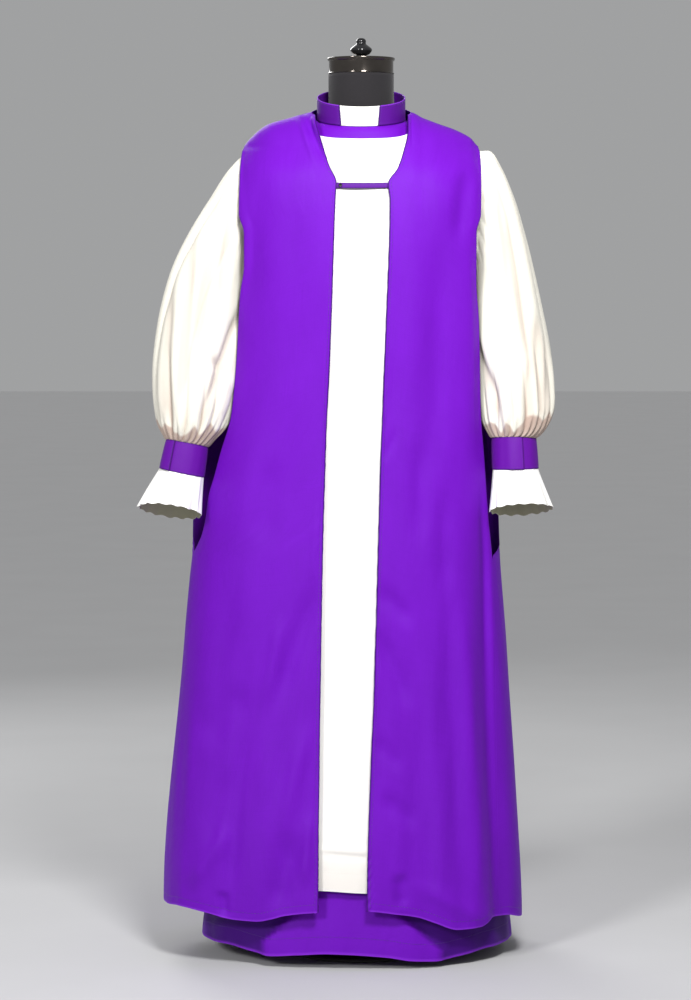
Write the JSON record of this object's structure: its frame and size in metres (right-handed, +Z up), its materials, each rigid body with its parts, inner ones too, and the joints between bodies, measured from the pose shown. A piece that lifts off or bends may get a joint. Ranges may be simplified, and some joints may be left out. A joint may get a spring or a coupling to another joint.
{
  "type": "bishop's cassock with rochet and chimere on a dress form",
  "caption": "Violet open-fronted chimere over a white rochet with balloon sleeves and pleated cuff frills, over a violet cassock with a standing collar, on a black dress form on a stand.",
  "frame": {"origin": "centre of the stand's flat underside, on the floor", "axes": "+Z up along the pole, -Y out of the garments' open front, +X towards the wearer's left, which is the viewer's right"},
  "size_m": [0.7438, 0.466, 1.644],
  "materials": {
    "violet_cloth": "soft plain weave with a light sheen",
    "violet_band": "stiffened plain weave",
    "white_cloth": "fine matt lawn",
    "form_black": "matt jersey cover",
    "cap_metal": "polished",
    "gloss_black": "gloss",
    "stand_steel": "brushed",
    "stand_iron": "matt black"
  },
  "bodies": {
    "root": {"chimere_front_left": "violet_cloth", "chimere_front_right": "violet_cloth", "chimere_back": "violet_cloth", "front_strap": "violet_band", "strap_button": "gloss_black", "rochet_front": "white_cloth", "rochet_back": "white_cloth", "rochet_sleeve_left": "white_cloth", "rochet_sleeve_right": "white_cloth", "wristband_left": "violet_band", "wristband_right": "violet_band", "cuff_frill_left": "white_cloth", "cuff_frill_right": "white_cloth", "cassock_front": "violet_cloth", "cassock_back": "violet_cloth", "cassock_collar": "violet_band", "collar_insert": "white_cloth", "form_torso": "form_black", "neck_cap": "cap_metal", "cap_finial": "gloss_black", "stand_pole": "stand_steel", "stand_base": "stand_iron"}
  },
  "joints": []
}
